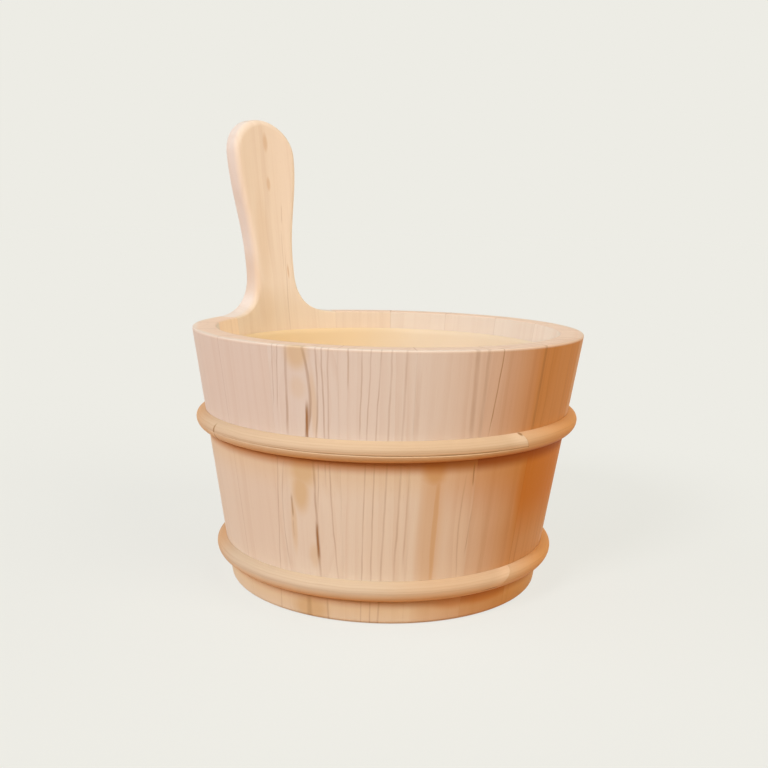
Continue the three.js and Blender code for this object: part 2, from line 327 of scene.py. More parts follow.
def bezier(p0, p1, p2, p3, steps):
    t = np.linspace(0, 1, steps + 1)[:, None]
    points = [np.asarray(p, float) for p in (p0, p1, p2, p3)]
    weights = [(1 - t) ** 3, 3 * t * (1 - t) ** 2, 3 * t * t * (1 - t), t ** 3]
    return sum(w * p for w, p in zip(weights, points))


def quarter(corner, start, end, steps=ARC_STEPS):
    """A rounded corner as points from start to end, which lie along the corner's two edges."""
    start, corner, end = (np.asarray(p, float) for p in (start, corner, end))
    angles = np.linspace(0, pi / 2, steps + 1)
    centre = start + end - corner
    return [centre + (start - centre) * cos(a) + (end - centre) * sin(a) for a in angles]


# Meshes. A shape is its points, its faces and its grain: each point's place across, along and into the wood.

def skin(rings, grain, closed=False, caps=True):
    """The shape of a row of rings with the same number of points in each."""
    count, size = rings.shape[:2]
    faces = []
    for ring in range(count if closed else count - 1):
        near = ring * size
        far = ((ring + 1) % count) * size
        for i in range(size):
            j = (i + 1) % size
            faces.append((near + i, near + j, far + j, far + i))
    if caps and not closed:
        faces.append(tuple(range(size))[::-1])
        faces.append(tuple(range((count - 1) * size, count * size)))
    return rings.reshape(-1, 3), faces, grain.reshape(-1, 3)


def piece(node, shape, material, body="bucket"):
    """A finished piece that stands for one CAD node."""
    points, faces, grain = shape
    mesh = bpy.data.meshes.new(node + "_fine")
    mesh.from_pydata([tuple(p) for p in points * MM + np.array(AXIS)], [], faces)
    layer = mesh.attributes.new("grain", "FLOAT_VECTOR", "POINT")
    layer.data.foreach_set("vector", np.ascontiguousarray(grain, dtype=np.float32).ravel())
    work = bmesh.new()
    work.from_mesh(mesh)
    bmesh.ops.remove_doubles(work, verts=work.verts, dist=WELD)
    bmesh.ops.dissolve_degenerate(work, edges=work.edges, dist=SLIVER)
    bmesh.ops.recalc_face_normals(work, faces=work.faces)
    work.to_mesh(mesh)
    work.free()
    mesh.shade_smooth()
    mesh.set_sharp_from_angle(angle=radians(SHARP_ANGLE))
    mesh.materials.append(material)
    obj = bpy.data.objects.new(node + "_fine", mesh)
    bpy.context.scene.collection.objects.link(obj)
    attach(obj, body)
    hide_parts(node)


# Plain staves

def groove():
    """Height and depth of the groove's corners, from its lower lip to its upper one."""
    floor = GROOVE_HALF - GROOVE_BEVEL
    corners = ((-GROOVE_HALF, 0.0), (-floor, GROOVE_DEPTH), (floor, GROOVE_DEPTH), (GROOVE_HALF, 0.0))
    return [(GROOVE_Z + offset, depth) for offset, depth in corners]


def stave_outline():
    """Radius and height round a plain stave: foot, outside, rim, inside and the groove."""
    rim = TUB_HEIGHT
    low = FOOT_ROUND
    high = TUB_HEIGHT - RIM_ROUND
    inside = RIM_RADIUS - WALL
    points = [np.array((inner_radius(0), 0.0))]
    points += quarter((BASE_RADIUS, 0), (BASE_RADIUS - low, 0), (outer_radius(low), low))
    points += quarter((RIM_RADIUS, rim), (outer_radius(high), high), (RIM_RADIUS - RIM_ROUND, rim))
    points += quarter((inside, rim), (inside + RIM_ROUND, rim), (inner_radius(high), high))
    points += [np.array((inner_radius(z) + depth, z)) for z, depth in reversed(groove())]
    return np.array(points)


def stave(start, end):
    """A plain stave between two joints."""
    outline = stave_outline()
    radius, z = outline[:, 0], outline[:, 1]
    middle = radians((start + end) / 2)
    ease = JOINT_GAP / 2 / RIM_RADIUS
    rings = []
    grain = []
    for a in np.linspace(radians(start) + ease, radians(end) - ease, STAVE_STEPS + 1):
        rings.append(np.stack((radius * cos(a), radius * sin(a), z), -1))
        inward = outer_radius(z) - radius * cos(a - middle)
        grain.append(np.stack((radius * sin(a - middle), z, inward), -1))
    return skin(np.array(rings), np.array(grain))


# Handle stave. Its rings turn at each edge from the outer face to the edge and on to the inner face.
ROUND_TURNS = np.linspace(0, pi / 2, ARC_STEPS + 1)
EDGE_TURNS = np.concatenate((ROUND_TURNS, ROUND_TURNS[::-1]))
ON_FRONT = np.arange(len(EDGE_TURNS)) < len(ROUND_TURNS)


def paddle_outline(rim_half):
    """Right edge of the paddle from the rim to its top: half width and height, with outward normals."""
    head = HANDLE_TOP - HEAD_RISE
    fillet = bezier(
        (rim_half, TUB_HEIGHT), (rim_half - FILLET_REACH, TUB_HEIGHT),
        (NECK_HALF, NECK_LOW - FILLET_DROP), (NECK_HALF, NECK_LOW), CURVE_STEPS)
    swell = bezier(
        (NECK_HALF, NECK_HIGH), (NECK_HALF, NECK_HIGH + SHOULDER_EASE),
        (HEAD_HALF, head - SHOULDER_EASE), (HEAD_HALF, head), CURVE_STEPS)
    turn = np.linspace(0, pi / 2, CURVE_STEPS + 1)[1:]
    crown = np.stack((HEAD_HALF * np.cos(turn), head + HEAD_RISE * np.sin(turn)), -1)
    edge = np.concatenate((fillet, swell, crown))
    along = np.gradient(edge, axis=0)
    along[0] = along[-1] = (-1, 0)
    normal = np.stack((along[:, 1], -along[:, 0]), -1)
    return edge, normal / np.linalg.norm(normal, axis=1)[:, None]


def handle_ring(edge_u, edge_z, depth, outer_depth, inner_depth, narrow):
    """One ring, as places across, up and in, from its right edge's points. Its two faces run across between
    its edges. With narrow at 1 it narrows inwards as radial joints do, and at 0 not at all."""
    columns = np.linspace(-1, 1, FACE_STEPS + 1)[1:-1]
    right = np.stack((edge_u, edge_z, depth), -1)
    left = right[::-1] * (-1, 1, 1)
    first, last = right[0], right[-1]
    outer = [(first[0] * c, first[1], outer_depth) for c in columns]
    inner = [(last[0] * c, last[1], inner_depth) for c in -columns]
    ring = np.concatenate((np.array(outer), right, np.array(inner), left))
    ring[:, 0] *= 1 - narrow * ring[:, 2] / outer_radius(ring[:, 1])
    return ring


def tub_ring(z, outer_depth, inner_depth):
    """A level ring below the rim."""
    corner = RIM_ROUND * (1 - np.cos(EDGE_TURNS)) / WALL
    share = np.where(ON_FRONT, corner, 1 - corner)
    depth = lerp(outer_depth, inner_depth, share)
    half = np.full(len(EDGE_TURNS), outer_radius(z) * HANDLE_FLARE)
    level = np.full(len(EDGE_TURNS), z)
    return handle_ring(half, level, depth, outer_depth, inner_depth, 1.0)


def paddle_ring(half, z, across, up):
    """A ring through a point of the paddle's outline, rounded back from it against the normal there."""
    rounding = lerp(RIM_ROUND, HANDLE_ROUND, smooth(z, TUB_HEIGHT, FULL_ROUND_Z))
    inset = rounding * (1 - np.sin(EDGE_TURNS))
    corner = rounding * (1 - np.cos(EDGE_TURNS))
    depth = np.where(ON_FRONT, corner, WALL - corner)
    narrow = 1 - smooth(z, TUB_HEIGHT, NECK_LOW)
    return handle_ring(half - across * inset, z - up * inset, depth, 0.0, WALL, narrow)


def handle_stave():
    """The long stave: level rings up to the rim, then rings that follow the paddle, all bent to the tub."""
    rings = []
    for turn in ROUND_TURNS:
        rings.append(tub_ring(FOOT_ROUND * (1 - cos(turn)), FOOT_ROUND * (1 - sin(turn)), WALL))
    for z, cut in groove():
        rings.append(tub_ring(z, 0.0, WALL - cut))
    for z in np.linspace(GROOVE_Z + 2 * GROOVE_HALF, TUB_HEIGHT - 2 * RIM_ROUND, TUB_RINGS):
        rings.append(tub_ring(z, 0.0, WALL))
    for point, normal in zip(*paddle_outline(RIM_RADIUS * HANDLE_FLARE)):
        rings.append(paddle_ring(*point, *normal))
    grain = np.array(rings)
    u, z, depth = grain[..., 0], grain[..., 1], grain[..., 2]
    bent = np.stack((u, np.sqrt((outer_radius(z) - depth) ** 2 - u ** 2), z), -1)
    points, faces, grain = skin(bent, grain, caps=False)
    faces.append(tuple(range(bent.shape[1]))[::-1])
    return points, faces, grain


# Hoops

def hoop_arc(start, end, steps=HOOP_ARC_STEPS, lift=0.0):
    """Depth out from the staves and rise along the half-round, from -90 at its lower edge to 90 at its
    upper one, which is drawn out thin."""
    turns = np.radians(np.linspace(start, end, steps + 1))
    feather = 1 + HOOP_FEATHER * np.maximum(0.0, np.sin(turns))
    depth = (HOOP_THICKNESS + lift) * np.abs(np.cos(turns)) ** feather
    return np.stack((depth, HOOP_HEIGHT / 2 * np.sin(turns)), -1)


def hoop(middle_z, tilt, seam, gap, inner_lift, outer_lift, end_gap, end_slant):
    """A bent strip: the inner tongue of the lap, the whole round at the back, then the outer tongue."""
    upper_edge = [(0.0, HOOP_HEIGHT / 2)]
    sections = []

    def edge(turn, side):
        """Angle on the half-round of the seam's lower side, -1, or its upper side, 1."""
        along = turn / LAP_ARC
        return lerp(*seam, along) + side * lerp(*gap, along) / 2

    def inner_tongue(turn):
        lift = inner_lift * smooth(turn, 0, LAP_BLEND) * smooth(LAP_ARC - turn, 0, LAP_BLEND)
        return np.concatenate((hoop_arc(-90, edge(turn, -1), HOOP_ARC_STEPS - 1, lift), upper_edge))

    def whole(turn):
        return hoop_arc(-90, 90)

    def outer_tongue(turn):
        return hoop_arc(edge(turn - 360, 1), 90, lift=outer_lift * smooth(turn - 360, 0, LAP_BLEND))

    def run(start, end, shape):
        for turn in np.linspace(start, end, round((end - start) / HOOP_STEP) + 1):
            sections.append((turn, shape(turn)))

    run(end_gap / 2, LAP_ARC, inner_tongue)
    run(LAP_ARC + end_gap / 2, 360 - end_gap / 2, whole)
    run(360, 360 + LAP_ARC - end_gap / 2, outer_tongue)
    rings = []
    grain = []
    for turn, section in sections:
        depth, rise = section[:, 0], section[:, 1]
        near_end = 1 - smooth(abs(turn % 360 - LAP_ARC), 0, LAP_BLEND)
        angle = np.radians(LAP_START + turn) + end_slant * near_end * rise / RIM_RADIUS
        z = middle_z + tilt * cos(radians(LAP_START + turn - TILT_ANGLE)) + rise
        radius = outer_radius(z) + HOOP_FIT + depth
        rings.append(np.stack((radius * np.cos(angle), radius * np.sin(angle), z), -1))
        girth = HOOP_THICKNESS * np.arctan2(rise, depth)
        length = np.full(len(rise), radians(turn) * RIM_RADIUS)
        grain.append(np.stack((girth, length, HOOP_THICKNESS - depth), -1))
    return skin(np.array(rings), np.array(grain))


# Liner

def liner_outside(z):
    return inner_radius(z) - LINER_CLEARANCE


def liner_inside(z):
    return liner_outside(z) - LINER_WALL


def liner_outline():
    """Radius and height of the cup: its outside from the middle of the base, the lip, and back inside."""
    low = LINER_BASE
    floor = LINER_BASE + LINER_WALL
    corner = LINER_CORNER
    top = LINER_TOP
    lip = top - LIP_HEIGHT
    lip_middle = top - LIP_HEIGHT / 2
    bead = liner_outside(top) + LIP_REACH
    inside = liner_inside(top)
    crest = (bead + inside) / 2
    foot = liner_outside(low)
    well = liner_inside(floor)
    points = [np.array((0.0, low))]
    points += quarter((foot, low), (foot - corner, low), (liner_outside(low + corner), low + corner))
    points += quarter((bead, lip), (liner_outside(lip), lip), (bead, lip_middle))
    points += quarter((bead, top), (bead, lip_middle), (crest, top))[1:]
    points += quarter((inside, top), (crest, top), (liner_inside(lip), lip))[1:]
    points += quarter((well, floor), (liner_inside(floor + corner), floor + corner), (well - corner, floor))
    points.append(np.array((0.0, floor)))
    return np.array(points)


def liner():
    """The cup, turned about its axis. Its grain is plain X, Y and Z."""
    outline = liner_outline()
    radius, z = outline[:, 0], outline[:, 1]
    turns = np.linspace(0, 2 * pi, LINER_STEPS, endpoint=False)
    rings = np.array([np.stack((radius * cos(a), radius * sin(a), z), -1) for a in turns])
    return skin(rings, rings.copy(), closed=True)


# Materials

class Net:
    """The nodes of a material or a world, written as formulas. Values are sockets or plain numbers."""

    def __init__(self, owner):
        owner.use_nodes = True
        self.owner = owner
        self.tree = owner.node_tree
        self.shader = self.tree.nodes.get("Principled BSDF")

    def feed(self, socket, value):
        if isinstance(value, bpy.types.NodeSocket):
            self.tree.links.new(value, socket)
        elif isinstance(value, tuple) and socket.type == "RGBA":
            socket.default_value = (*value, 1.0)
        else:
            socket.default_value = value

    def node(self, kind, inputs, output=0, **settings):
        node = self.tree.nodes.new("ShaderNode" + kind)
        for key, value in settings.items():
            setattr(node, key, value)
        for key, value in inputs.items():
            self.feed(node.inputs[key], value)
        return node.outputs[output]

    def math(self, operation, *values):
        return self.node("Math", dict(enumerate(values)), operation=operation)

    def add(self, a, b):
        return self.math("ADD", a, b)

    def sub(self, a, b):
        return self.math("SUBTRACT", a, b)

    def mul(self, a, b):
        return self.math("MULTIPLY", a, b)

    def absolute(self, value):
        return self.math("ABSOLUTE", value)

    def hypotenuse(self, a, b):
        return self.math("SQRT", self.add(self.mul(a, a), self.mul(b, b)))

    def ease(self, value, low, high):
        """0 below low, 1 above high, and smooth between them."""
        return self.node("MapRange", {0: value, 1: low, 2: high}, interpolation_type="SMOOTHSTEP")

    def fade(self, value, low, high, top=1.0):
        """The other way round: top below low, 0 above high."""
        inputs = {0: value, 1: low, 2: high, 3: top, 4: 0.0}
        return self.node("MapRange", inputs, interpolation_type="SMOOTHSTEP")

    def ramp(self, value, start, end, low, high):
        """low at start, high at end, and straight between them."""
        return self.node("MapRange", {0: value, 1: start, 2: end, 3: low, 4: high})

    def span(self, value, low, high):
        """A value from 0 to 1 spread over another range."""
        return self.ramp(value, 0.0, 1.0, low, high)

    def vector(self, x, y, z):
        return self.node("CombineXYZ", {0: x, 1: y, 2: z})

    def noise(self, vector, detail=2.0, roughness=0.5):
        inputs = {"Vector": vector, "Scale": 1.0, "Detail": detail, "Roughness": roughness}
        return self.node("TexNoise", inputs)

    def chance(self, value):
        """A fixed random number from 0 to 1 for each whole value."""
        return self.node("TexWhiteNoise", {"W": value}, noise_dimensions="1D")

    def mix(self, factor, a, b):
        return self.node("Mix", {0: factor, 6: a, 7: b}, output=2, data_type="RGBA")

    def grain(self, boards=False):
        """Across, along and into the wood, in millimetres. Plain boards lie level and run along Y."""
        if boards:
            place = self.node("TexCoord", {}, output="Object")
            vector = self.node("VectorMath", {0: place, "Scale": 1 / MM}, operation="SCALE")
        else:
            vector = self.node("Attribute", {}, output=1, attribute_name="grain")
        return [self.node("SeparateXYZ", {0: vector}, output=i) for i in range(3)]

    def bump(self, height, strength, distance):
        normal = self.node("Bump", {"Height": height, "Strength": strength, "Distance": distance})
        self.feed(self.shader.inputs["Normal"], normal)


@dataclass
class Look:
    """What one piece of softwood shows. Places are millimetres in its grain: u across, v along and w in from
    its face. bumps are as swells takes them, spots and marks as patches does, and lines as threads does."""

    seed: float
    boards: bool = False

    # Year rings: the pith line's place across and below the face, its drift and heave, and the rings' width
    centre: float = 0.0
    depth: float = 20.0
    wander: float = 3.0
    swell: float = 4.0
    bumps: tuple = ()
    spacing: float = 4.6
    contrast: float = 0.3
    late: tuple = LATE

    # Ground: pale wood, another colour further along it, which on plain staves is painted cool light higher
    # up, and another on the outside
    pale: tuple = PALE
    further: tuple = None
    further_from: tuple = UPPER_LIGHT_FROM
    outside: tuple = None

    # Warm colour over it: a share all over, and painted shading from one u to another with a share at each,
    # which streaks make ragged by so many millimetres. On staves this shading is painted shade on the side
    # turned from the key light; on the hoops it is painted light on their undersides
    warm: tuple = HONEY_AND_SHADE
    honey: float = 0.0
    flush: tuple = None
    streak: float = 0.0

    # Plain staves end at the rim and meet at joints half an arc from their middle. Every stave is hooped,
    # which paints shade on its foot and below each hoop, darkest in its crease shade colour.
    plain_stave: bool = False
    half_arc: float = 0.0
    joint: float = JOINT_OUTSIDE
    hooped: bool = False
    crease_shade: tuple = CREASE_SHADE

    # Stains and painted shade: spots of one colour, which on the hoops are painted shade on their right part
    # and a darker patch near the slit, and spots of painted amber shade; painted amber shade below the upper
    # hoop, as its share at the left, its share at the right and the two heights between which it comes up;
    # dark threads and their middle height; dark marks
    stain_and_shade: tuple = TAN
    spots: tuple = ()
    amber_shade_spots: tuple = ()
    amber_shade: tuple = None
    middle: float = 95.0
    lines: tuple = ()
    marks: tuple = ()


class Wood(Net):
    """Planed softwood: year rings round a pith line below its face, cut by its surface, under stains."""

    def __init__(self, name, look):
        super().__init__(bpy.data.materials.new(name))
        self.look = look
        self.u, self.v, self.w = self.grain(look.boards)
        self.fibre = self.fibres(FIBRE, detail=3.0, roughness=0.6)
        self.band = self.figure(BAND)
        self.face_u = self.add(self.u, self.span(self.figure(WAVER), -WAVER_REACH, WAVER_REACH))
        self.ragged_u = self.face_u
        if look.streak:
            self.ragged_u = self.add(self.face_u, self.span(self.band, -look.streak, look.streak))
        self.dark = self.late_wood()
        self.shading_tint = self.painted_shading_share()
        self.warmth = self.warm_share()
        self.face = self.fade(self.w, *FACE_DEPTH) if look.plain_stave else 1.0
        self.colour = self.ground()

    def figure(self, pattern):
        """Noise that changes at one rate across the grain and at another along it."""
        across, along, shift = pattern
        third = self.look.seed + shift
        return self.noise(self.vector(self.mul(self.u, across), self.mul(self.v, along), third))

    def fibres(self, pattern, detail, roughness=0.5):
        """Noise drawn out along the grain, with the same rate in depth as across."""
        across, along = pattern
        place = self.vector(self.mul(self.u, across), self.mul(self.v, along), self.mul(self.w, across))
        return self.noise(place, detail, roughness)

    def swells(self, bumps):
        """Sum of smooth rises along the board, each given by its place, its length and its height."""
        total = 0.0
        for place, length, height in bumps:
            reach = self.absolute(self.sub(self.v, place))
            total = self.add(self.fade(reach, 0.0, length, height), total)
        return total

    def threads(self, lines):
        """Dark threads along the grain. Each has its place across the board one step above the middle, at
        the middle and one step below it, the heights where it starts and ends, its half width and its
        strength."""
        total = 0.0
        middle = self.look.middle
        across, along = BREAKS
        height = self.mul(self.sub(self.v, middle), 1 / THREAD_STEP)
        breaks = self.noise(self.vector(self.mul(self.face_u, across), self.mul(self.v, along), middle))
        for upper, centre, lower, low, high, width, strength in lines:
            bend = (upper + lower) / 2 - centre
            slope = self.math("MULTIPLY_ADD", height, bend, (upper - lower) / 2)
            place = self.math("MULTIPLY_ADD", height, slope, centre)
            off = self.absolute(self.sub(self.face_u, place))
            soft = (high - low) * THREAD_FADE
            start = self.ease(self.v, low - soft, low + soft)
            end = self.fade(self.v, high - soft, high + soft)
            line = self.mul(self.fade(off, width * THREAD_CORE, width, strength), self.mul(start, end))
            total = self.math("MAXIMUM", line, total)
        return self.mul(total, self.span(breaks, *THREAD_BREAKS))

    def patches(self, spots):
        """Soft ovals, each given by its centre, its half sizes across and along, and its strength."""
        total = 0.0
        for u0, v0, half_u, half_v, strength in spots:
            du = self.mul(self.sub(self.face_u, u0), 1 / half_u)
            dv = self.mul(self.sub(self.v, v0), 1 / half_v)
            oval = self.fade(self.hypotenuse(du, dv), *SPOT_EDGE, strength)
            total = self.math("MAXIMUM", oval, total)
        return total

    def late_wood(self):
        """How dark the year rings are."""
        look = self.look
        rate, shift = HEAVE
        heave = self.noise(self.vector(look.seed + shift, self.mul(self.v, rate), 0.0))
        drift = self.span(self.figure(DRIFT), -look.wander, look.wander)
        across = self.add(self.sub(self.face_u, look.centre), drift)
        below = self.add(self.add(self.w, look.depth), self.span(heave, -look.swell, look.swell))
        if look.bumps:
            below = self.sub(below, self.swells(look.bumps))
        ring = self.mul(self.hypotenuse(across, below), 1 / look.spacing)
        uneven = self.noise(self.vector(self.mul(ring, RING_RATE), look.seed, 1.0), detail=1.0)
        ring = self.add(ring, self.span(uneven, -RING_SHIFT, RING_SHIFT))
        phase = self.math("FRACT", ring)
        luck = self.chance(self.add(self.math("FLOOR", ring), look.seed))
        strength = self.span(self.mul(luck, luck), *RING_CHANCE)
        dark = self.mul(self.ease(phase, *RING_DARKENS), self.fade(phase, *RING_ENDS))
        return self.mul(self.mul(dark, strength), self.span(self.figure(PATCH), *RING_PATCHES))

    def painted_shading_share(self):
        """Share of the warm colour as painted shading across the face, a little less at the foot of a plain
        stave.
        """
        if not self.look.flush:
            return None
        share = self.ramp(self.ragged_u, *self.look.flush)
        if self.look.plain_stave:
            share = self.mul(share, self.span(self.ease(self.v, *SHADING_FULL), SHADING_AT_FOOT, 1.0))
        return share

    def warm_share(self):
        """Share of the warm colour in all: slow changes of tone, the piece's own warmth and its painted
        shading.
        """
        warmth = self.add(self.span(self.figure(TONE), -TONE_REACH, TONE_REACH), self.look.honey)
        if self.look.flush:
            warmth = self.add(warmth, self.mul(self.shading_tint, self.fade(self.w, *SHADING_DEPTH)))
        return warmth

    def ground(self):
        """The wood's colour without its figure, with its painted shading and, on plain staves, painted cool
        light higher up.
        """
        look = self.look
        pale = look.pale
        if look.further:
            pale = self.mix(self.ease(self.v, *look.further_from), pale, look.further)
        if look.outside:
            pale = self.mix(self.ease(self.w, *INSIDE_DEPTH), look.outside, pale)
        return self.mix(self.warmth, pale, look.warm)

    def top_share(self):
        """1 on the cut top of a plain stave."""
        return self.mul(self.ease(self.v, *TOP_FROM), self.ease(self.w, *TOP_DEPTH))

    def paint(self, share, colour):
        """Lay a share of one more colour over the wood."""
        self.colour = self.mix(share, self.colour, colour)

    def paint_end_grain(self):
        self.paint(self.mul(self.top_share(), TOP_SHARE), END_GRAIN)

    def paint_figure(self):
        """Bands, year rings, fibres darker and lighter than the ground, and pores."""
        late = self.look.late
        contrast = self.look.contrast
        self.paint(self.mul(self.ease(self.band, *BAND_SHOWS), BAND_SHARE * contrast), late)
        self.paint(self.mul(self.dark, contrast), late)
        shade = self.span(self.fibre, -FIBRE_SHADE, FIBRE_SHADE)
        self.paint(self.math("MAXIMUM", shade, 0.0), late)
        light = self.math("MAXIMUM", self.mul(shade, -1.0), 0.0)
        self.paint(self.mul(light, self.span(self.warmth, 1.0, LIGHT_ON_WARM)), LIGHT_FIBRE_AND_HIGHLIGHT)
        pores = self.fibres(PORE, detail=1.0)
        self.paint(self.mul(self.ease(pores, *PORE_SHOWS), PORE_SHADE), late)

    def paint_edge_highlight(self):
        """A painted highlight along the outer edge of the rim."""
        outside = self.fade(self.w, *EDGE_DEPTH, EDGE_SHARE)
        self.paint(self.mul(self.ease(self.v, *EDGE_FROM), outside), LIGHT_FIBRE_AND_HIGHLIGHT)

    def paint_joints(self):
        """Thin dark lines along the stave's two joints."""
        radius = self.sub(self.math("MULTIPLY_ADD", self.v, TAPER, BASE_RADIUS), self.w)
        half_width = self.mul(radius, tan(radians(self.look.half_arc)))
        off = self.absolute(self.sub(self.absolute(self.u), half_width))
        shown = self.ramp(self.w, *JOINT_DEPTH, self.look.joint, JOINT_INSIDE)
        shown = self.math("MULTIPLY_ADD", self.top_share(), JOINT_TOP, shown)
        self.paint(self.mul(self.fade(off, *JOINT_LINE), shown), THREAD)

    def paint_foot_shade(self):
        """Painted shade on the foot below the lower hoop, warmer where the face has painted shading."""
        colour = FOOT_SHADE
        if self.look.flush:
            warm = self.mul(self.math("SQRT", self.shading_tint), FOOT_WARM)
            colour = self.mix(self.math("MINIMUM", warm, FOOT_WARM_MOST), FOOT_SHADE, HONEY_AND_SHADE)
        self.paint(self.fade(self.v, *FOOT_TONE, FOOT_SHARE), colour)

    def paint_warm_shade(self):
        """Painted warm shade in a wide band below each hoop."""
        for hoop_z, reach, _, _ in HOOP_SHADES:
            low = hoop_z - HOOP_HEIGHT / 2
            band = self.mul(self.ease(self.v, low - reach, low), self.fade(self.v, low, low + BEHIND_HOOP))
            self.paint(self.mul(band, WARM_SHADE_SHARE), HOOP_WARM_SHADE)

    def paint_stains(self):
        look = self.look
        # Spots in the stain colour, which on the hoops paint shade on their right part and a darker patch
        # near the slit
        if look.spots:
            self.paint(self.mul(self.patches(look.spots), self.face), look.stain_and_shade)
        # Spots of painted amber shade
        if look.amber_shade_spots:
            self.paint(self.mul(self.patches(look.amber_shade_spots), self.face), AMBER_SHADE)
        # Painted amber shade below the upper hoop
        if look.amber_shade:
            left, right, low, high = look.amber_shade
            height = self.mul(self.ease(self.v, low, high), self.fade(self.v, *AMBER_SHADE_TOP))
            across = self.ramp(self.ragged_u, -AMBER_SHADE_HALF, AMBER_SHADE_HALF, left, right)
            self.paint(self.mul(self.mul(height, self.face), across), AMBER_SHADE)

    def paint_crease_shade(self):
        """Painted shade in a narrow dark band close below each hoop, on the outside."""
        for hoop_z, _, reach, strength in HOOP_SHADES:
            low = hoop_z - HOOP_HEIGHT / 2
            below = self.ease(self.v, low - reach, low - CREASE_SHADE_FULL * reach)
            outside = self.fade(self.w, *FACE_DEPTH, strength)
            shown = self.mul(self.fade(self.v, low, low + BEHIND_HOOP), outside)
            self.paint(self.mul(below, shown), self.look.crease_shade)

    def paint_lines(self):
        look = self.look
        if look.lines:
            self.paint(self.mul(self.threads(look.lines), self.face), THREAD)
        if look.marks:
            self.paint(self.mul(self.patches(look.marks), self.face), THREAD)

    def set_surface(self):
        """Colour, gloss and bump into the shader."""
        inputs = self.shader.inputs
        self.feed(inputs["Base Color"], self.colour)
        rough = self.add(self.mul(self.fibre, ROUGH_FIBRE), self.mul(self.dark, ROUGH_RING))
        self.feed(inputs["Roughness"], self.span(rough, *WOOD_ROUGHNESS))
        inputs["Specular IOR Level"].default_value = WOOD_SPECULAR
        height = self.add(self.mul(self.fibre, BUMP_FIBRE), self.mul(self.dark, BUMP_RING))
        self.bump(height, *WOOD_BUMP)


def pine(name, **settings):
    """A material of planed softwood. The settings are those of Look."""
    look = Look(**settings)
    wood = Wood(name, look)
    if look.plain_stave:
        wood.paint_end_grain()
    wood.paint_figure()
    if look.plain_stave:
        wood.paint_edge_highlight()
        wood.paint_joints()
    if look.hooped:
        wood.paint_foot_shade()
        wood.paint_warm_shade()
    wood.paint_stains()
    if look.hooped:
        wood.paint_crease_shade()
    wood.paint_lines()
    wood.set_surface()
    return wood.owner


def moulded(name):
    """Cream plastic of the liner: satin and a little uneven."""
    net = Net(bpy.data.materials.new(name))
    x, y, z = net.grain()
    across, along, up = LINER_CLOUD
    cloud = net.noise(net.vector(net.mul(x, across), net.mul(y, along), net.mul(z, up)), detail=3.0)
    fine = net.noise(net.vector(*[net.mul(place, LINER_FINE) for place in (x, y, z)]))
    colour = net.mix(cloud, LINER_CREAM, LINER_PALE)
    # Painted warm light, yellower towards the handle
    colour = net.mix(net.ease(y, *LINER_WARM_LIGHT_Y), colour, LINER_WARM_LIGHT)
    inputs = net.shader.inputs
    net.feed(inputs["Base Color"], colour)
    net.feed(inputs["Roughness"], net.span(fine, *LINER_ROUGHNESS))
    inputs["Specular IOR Level"].default_value = LINER_SPECULAR
    inputs["Subsurface Weight"].default_value = LINER_SUBSURFACE
    inputs["Subsurface Radius"].default_value = LINER_SUBSURFACE_RADIUS
    net.bump(fine, *LINER_BUMP)
    return net.owner


# Camera, light and floor

def set_camera():
    turn = Matrix.Rotation(radians(VIEW_AZIMUTH), 4, "Z")
    place = turn @ Vector((0, -CAMERA_DISTANCE * MM, CAMERA_HEIGHT * MM)) + AXIS
    aim = Matrix.Rotation(radians(VIEW_AZIMUTH - CAMERA_YAW), 4, "Z")
    aim = aim @ Matrix.Rotation(radians(90 - CAMERA_PITCH), 4, "X")
    aim = aim @ Matrix.Rotation(radians(CAMERA_ROLL), 4, "Z")
    data = bpy.data.cameras.new("camera")
    data.lens = CAMERA_LENS
    data.sensor_width = CAMERA_SENSOR
    data.clip_start = CAMERA_NEAR * MM
    camera = bpy.data.objects.new("camera", data)
    camera.matrix_world = Matrix.Translation(place) @ aim
    bpy.context.scene.collection.objects.link(camera)
    bpy.context.scene.camera = camera


def add_sun(name, side, height, softness, power, colour):
    """A sun that shines from so many degrees right of the camera and above the floor."""
    angle = radians(VIEW_AZIMUTH - 90.0 + side)
    rise = radians(height)
    towards = Vector((cos(angle) * cos(rise), sin(angle) * cos(rise), sin(rise)))
    data = bpy.data.lights.new(name, "SUN")
    data.energy = power
    data.color = colour
    data.angle = radians(softness)
    lamp = bpy.data.objects.new(name, data)
    lamp.rotation_euler = towards.to_track_quat("Z", "Y").to_euler()
    bpy.context.scene.collection.objects.link(lamp)


def floor_light():
    """What a flat white surface on the open floor gives back, for each of red, green and blue."""
    level = np.array(SKY_COLOUR) * SKY_POWER
    for _, height, _, power, colour in SUNS.values():
        level = level + np.array(colour) * power / pi * sin(radians(height))
    return level


def plain_rays(net):
    """1 for rays from the camera and for mirrored or refracted ones."""
    rays = net.tree.nodes.new("ShaderNodeLightPath").outputs
    seen = net.math("MAXIMUM", rays["Is Camera Ray"], rays["Is Glossy Ray"])
    return net.math("MAXIMUM", seen, rays["Is Transmission Ray"])


def set_sky():
    """A dim warm sky that shows as the plain backdrop."""
    net = Net(bpy.data.worlds.new("studio"))
    bpy.context.scene.world = net.owner
    light = net.tree.nodes["Background"]
    light.inputs["Color"].default_value = (*SKY_COLOUR, 1.0)
    light.inputs["Strength"].default_value = SKY_POWER
    shown = net.node("Background", {"Color": BACKGROUND, "Strength": 1.0})
    mixed = net.node("MixShader", {0: plain_rays(net), 1: light.outputs[0], 2: shown})
    net.feed(net.tree.nodes["World Output"].inputs["Surface"], mixed)


